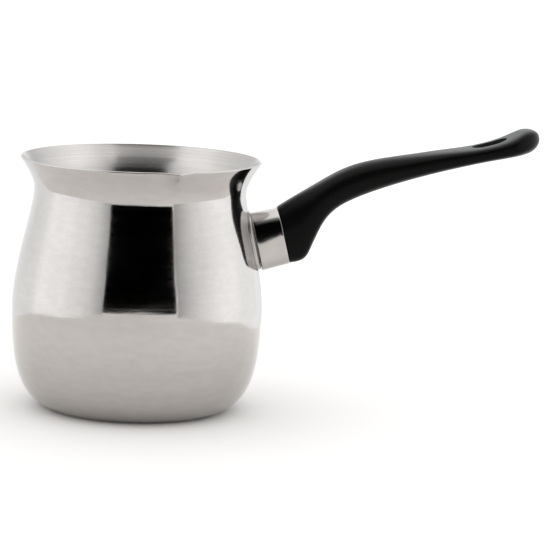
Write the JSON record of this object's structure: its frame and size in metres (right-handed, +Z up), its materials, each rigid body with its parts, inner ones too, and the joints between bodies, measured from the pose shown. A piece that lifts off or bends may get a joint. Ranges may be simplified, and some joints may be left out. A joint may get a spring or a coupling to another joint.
{
  "type": "coffee pot",
  "caption": "Cezve-style coffee pot: spun steel pot with a round belly, drawn-in neck, flared mouth with a small pouring lip, and an upswept black handle screwed on through a steel ferrule.",
  "frame": {"origin": "centre of the flat base, on the surface the pot stands on", "axes": "+Z up along the pot's turning axis; +X from the pot towards the handle; the pouring lip points to -Y and a little to +X"},
  "size_m": [0.2185, 0.1042, 0.1208],
  "materials": {
    "pot_steel": "polished stainless steel with fine turned brushing",
    "bracket_steel": "satin stainless steel",
    "ferrule_steel": "polished stainless steel",
    "fastener_steel": "plain zinc-plated steel",
    "grip_phenolic": "moulded black phenolic, satin gloss"
  },
  "bodies": {
    "root": {"pot_body": "pot_steel", "handle_bracket": "bracket_steel", "bracket_nut": "fastener_steel", "ferrule": "ferrule_steel", "handle_grip": "grip_phenolic", "handle_screw": "fastener_steel", "flat_washer": "fastener_steel", "spring_washer": "fastener_steel"}
  },
  "joints": []
}
